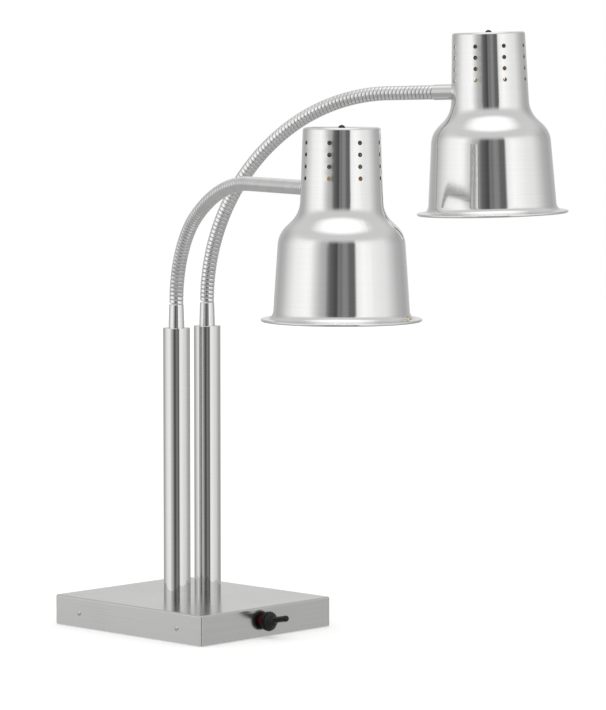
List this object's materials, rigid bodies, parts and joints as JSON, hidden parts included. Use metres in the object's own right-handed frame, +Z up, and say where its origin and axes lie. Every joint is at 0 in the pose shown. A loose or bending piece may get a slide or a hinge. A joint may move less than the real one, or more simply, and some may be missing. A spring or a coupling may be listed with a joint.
{
  "type": "heat lamp warmer",
  "caption": "Countertop infrared food warmer: weighted stainless base, twin stand tubes and flexible goosenecks, each carrying a bell-shaped spun shade over a reflector bulb.",
  "frame": {"origin": "on the resting surface at the centre of the base footprint", "axes": "+Z up; -Y is the switch face and the side the heads reach over; +X to the right seen facing the switch"},
  "size_m": [0.4941, 0.6336, 0.7098],
  "materials": {
    "brushed_stainless": "brushed",
    "polished_stainless": "polished",
    "neck_chrome": "bright plated",
    "spun_aluminium": "spun satin",
    "zinc_steel": "zinc plated",
    "ballast_steel": "mill scale",
    "bright_screws": "nickel plated",
    "blackened_steel": "blackened",
    "black_rubber": "satin",
    "black_plastic": "moulded",
    "white_plastic": "moulded",
    "red_plastic": "moulded",
    "brass": "plain",
    "ceramic": "glazed",
    "lead_insulation": "braided glass sleeve",
    "bulb_glass": "gold tinted",
    "bulb_cap": "rolled thread"
  },
  "bodies": {
    "stand": {"ballast_plate": "ballast_steel", "ballast_screws": "bright_screws", "base_cover": "brushed_stainless", "base_leads": "lead_insulation", "bottom_plate": "zinc_steel", "earth_stud": "brass", "ferrule_nuts": "zinc_steel", "gland_body": "black_plastic", "gland_cap": "black_plastic", "gland_locknut": "black_plastic", "gland_seal": "black_rubber", "left_ferrule": "neck_chrome", "left_stand_tube": "polished_stainless", "left_tube_cap": "polished_stainless", "left_tube_foot": "polished_stainless", "right_ferrule": "neck_chrome", "right_stand_tube": "polished_stainless", "right_tube_cap": "polished_stainless", "right_tube_foot": "polished_stainless", "rubber_feet": "black_rubber", "side_screws": "bright_screws", "switch_body": "black_plastic", "switch_boot": "black_rubber", "switch_collar": "red_plastic", "switch_terminals": "brass", "terminal_block": "white_plastic", "tube_nuts": "zinc_steel", "tube_washers": "zinc_steel"},
    "left_neck_1": {"left_neck_1": "neck_chrome"},
    "left_neck_2": {"left_neck_2": "neck_chrome"},
    "left_neck_3": {"left_neck_3": "neck_chrome"},
    "left_neck_4": {"left_neck_4": "neck_chrome"},
    "left_neck_5": {"left_neck_5": "neck_chrome"},
    "left_neck_6": {"left_neck_6": "neck_chrome"},
    "left_head": {"left_head_sleeve": "neck_chrome", "left_sleeve_nut": "zinc_steel", "left_shade": "spun_aluminium", "left_crown_screw": "blackened_steel", "left_holder_bracket": "zinc_steel", "left_lampholder": "ceramic", "left_lamp_leads": "lead_insulation", "left_bulb_glass": "bulb_glass", "left_bulb_cap": "bulb_cap"},
    "right_neck_1": {"right_neck_1": "neck_chrome"},
    "right_neck_2": {"right_neck_2": "neck_chrome"},
    "right_neck_3": {"right_neck_3": "neck_chrome"},
    "right_neck_4": {"right_neck_4": "neck_chrome"},
    "right_neck_5": {"right_neck_5": "neck_chrome"},
    "right_neck_6": {"right_neck_6": "neck_chrome"},
    "right_head": {"right_head_sleeve": "neck_chrome", "right_sleeve_nut": "zinc_steel", "right_shade": "spun_aluminium", "right_crown_screw": "blackened_steel", "right_holder_bracket": "zinc_steel", "right_lampholder": "ceramic", "right_lamp_leads": "lead_insulation", "right_bulb_glass": "bulb_glass", "right_bulb_cap": "bulb_cap"},
    "toggle": {"toggle_lever": "black_rubber"}
  },
  "joints": [
    {"name": "left_lower_bend", "type": "hinge", "parent": "stand", "child": "left_neck_1", "pos_m": [-0.0255, 0, 0.388], "axis": [0.9426, -0.3338, 0], "range_deg": [-8, 8]},
    {"name": "left_sway", "type": "hinge", "parent": "left_neck_1", "child": "left_neck_2", "pos_m": [-0.03223, -0.01901, 0.45658], "axis": [0.2799, 0.7905, 0.5447], "range_deg": [-6, 6]},
    {"name": "left_lower_bend_3", "type": "hinge", "parent": "left_neck_2", "child": "left_neck_3", "pos_m": [-0.05028, -0.06996, 0.50365], "axis": [0.9426, -0.3338, 0], "range_deg": [-8, 8]},
    {"name": "left_sway_4", "type": "hinge", "parent": "left_neck_3", "child": "left_neck_4", "pos_m": [-0.07285, -0.1337, 0.52915], "axis": [0.0736, 0.2079, 0.9754], "range_deg": [-6, 6]},
    {"name": "left_upper_bend", "type": "hinge", "parent": "left_neck_4", "child": "left_neck_5", "pos_m": [-0.09689, -0.20159, 0.5356], "axis": [0.9426, -0.3338, 0], "range_deg": [-10, 10]},
    {"name": "left_sway_6", "type": "hinge", "parent": "left_neck_5", "child": "left_neck_6", "pos_m": [-0.12109, -0.26993, 0.5356], "axis": [0, 0, 1], "range_deg": [-6, 6]},
    {"name": "left_upper_bend_7", "type": "hinge", "parent": "left_neck_6", "child": "left_head", "pos_m": [-0.14529, -0.33828, 0.5356], "axis": [0.9426, -0.3338, 0], "range_deg": [-10, 10]},
    {"name": "right_lower_bend", "type": "hinge", "parent": "stand", "child": "right_neck_1", "pos_m": [0.0255, 0, 0.388], "axis": [0.9415, 0.3371, 0], "range_deg": [-8, 8]},
    {"name": "right_sway", "type": "hinge", "parent": "right_neck_1", "child": "right_neck_2", "pos_m": [0.02894, -0.0096, 0.45953], "axis": [-0.3235, 0.9035, 0.2813], "range_deg": [-6, 6]},
    {"name": "right_lower_bend_3", "type": "hinge", "parent": "right_neck_2", "child": "right_neck_3", "pos_m": [0.03906, -0.03788, 0.52524], "axis": [0.9415, 0.3371, 0], "range_deg": [-8, 8]},
    {"name": "right_sway_4", "type": "hinge", "parent": "right_neck_3", "child": "right_neck_4", "pos_m": [0.05504, -0.08252, 0.57976], "axis": [-0.2201, 0.6147, 0.7575], "range_deg": [-6, 6]},
    {"name": "right_upper_bend", "type": "hinge", "parent": "right_neck_4", "child": "right_neck_5", "pos_m": [0.07566, -0.14008, 0.61818], "axis": [0.9415, 0.3371, 0], "range_deg": [-10, 10]},
    {"name": "right_sway_6", "type": "hinge", "parent": "right_neck_5", "child": "right_neck_6", "pos_m": [0.09925, -0.20597, 0.63593], "axis": [-0.0308, 0.0859, 0.9958], "range_deg": [-6, 6]},
    {"name": "right_upper_bend_7", "type": "hinge", "parent": "right_neck_6", "child": "right_head", "pos_m": [0.12367, -0.27419, 0.63807], "axis": [0.9415, 0.3371, 0], "range_deg": [-10, 10]},
    {"name": "toggle", "type": "hinge", "parent": "stand", "child": "toggle", "pos_m": [-0.0045, -0.129, 0.0195], "axis": [1, 0, 0], "range_deg": [0, 22]}
  ],
  "couplings": [
    {"joint": "left_lower_bend_3", "follows": "left_lower_bend", "ratio": 1},
    {"joint": "left_sway_4", "follows": "left_sway", "ratio": 1},
    {"joint": "left_sway_6", "follows": "left_sway", "ratio": 1},
    {"joint": "left_upper_bend_7", "follows": "left_upper_bend", "ratio": 1},
    {"joint": "right_lower_bend_3", "follows": "right_lower_bend", "ratio": 1},
    {"joint": "right_sway_4", "follows": "right_sway", "ratio": 1},
    {"joint": "right_sway_6", "follows": "right_sway", "ratio": 1},
    {"joint": "right_upper_bend_7", "follows": "right_upper_bend", "ratio": 1}
  ]
}
